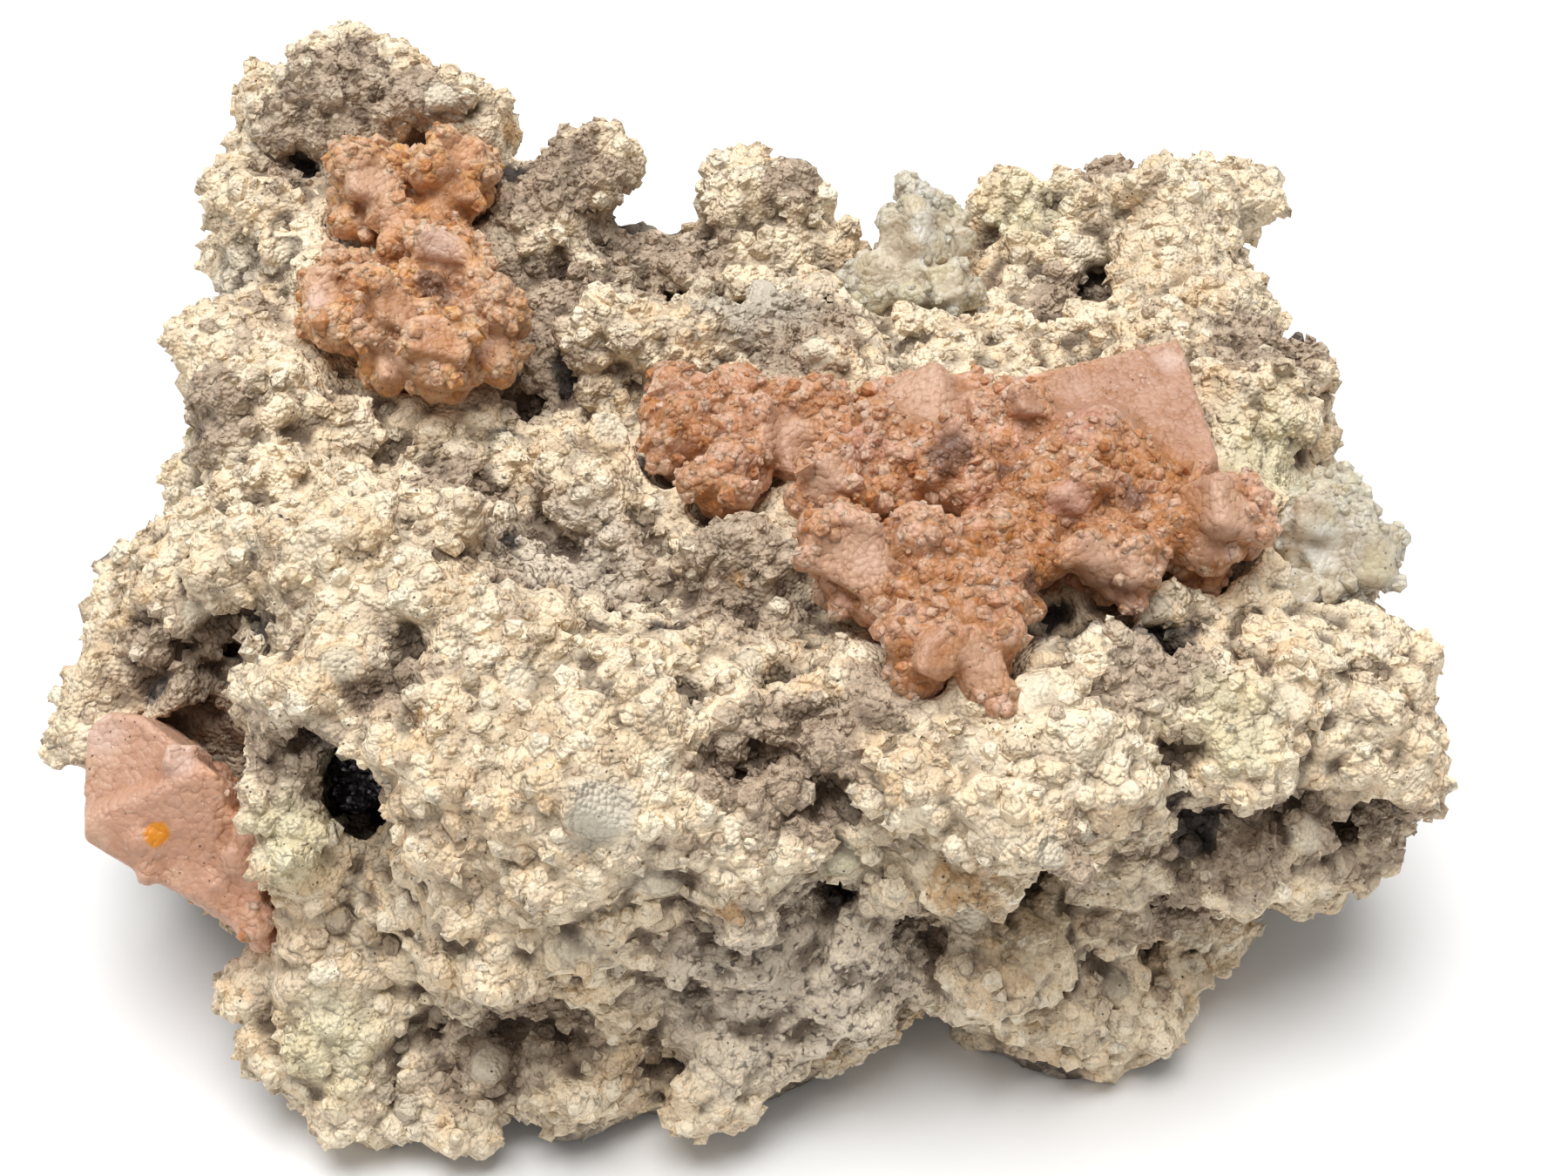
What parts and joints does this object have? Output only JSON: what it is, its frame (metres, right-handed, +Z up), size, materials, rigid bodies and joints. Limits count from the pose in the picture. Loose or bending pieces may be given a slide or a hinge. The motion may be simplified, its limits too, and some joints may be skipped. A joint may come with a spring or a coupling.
{
  "type": "fluorite specimen",
  "caption": "Salmon-pink fluorite octahedra grown together on a block of pale, crusty rock with lumpy ledges, open pits and a flat broken foot.",
  "frame": {"origin": "centre of the bounding box in plan, on the surface that the block lies on", "axes": "+X to the right along the longest side, +Y to the raised back rim, +Z up from the flat foot"},
  "size_m": [0.0946, 0.0826, 0.0427],
  "materials": {
    "matrix": "matte",
    "fluorite": "satin",
    "colourless_crystal": "satin",
    "black_mineral": "satin"
  },
  "bodies": {
    "root": {"matrix": "matrix", "fluorite_centre": "fluorite", "fluorite_back_left": "fluorite", "fluorite_left_edge": "fluorite", "colourless_crystals_back": "colourless_crystal", "colourless_crystals_right": "colourless_crystal", "black_seam": "black_mineral"}
  },
  "joints": []
}
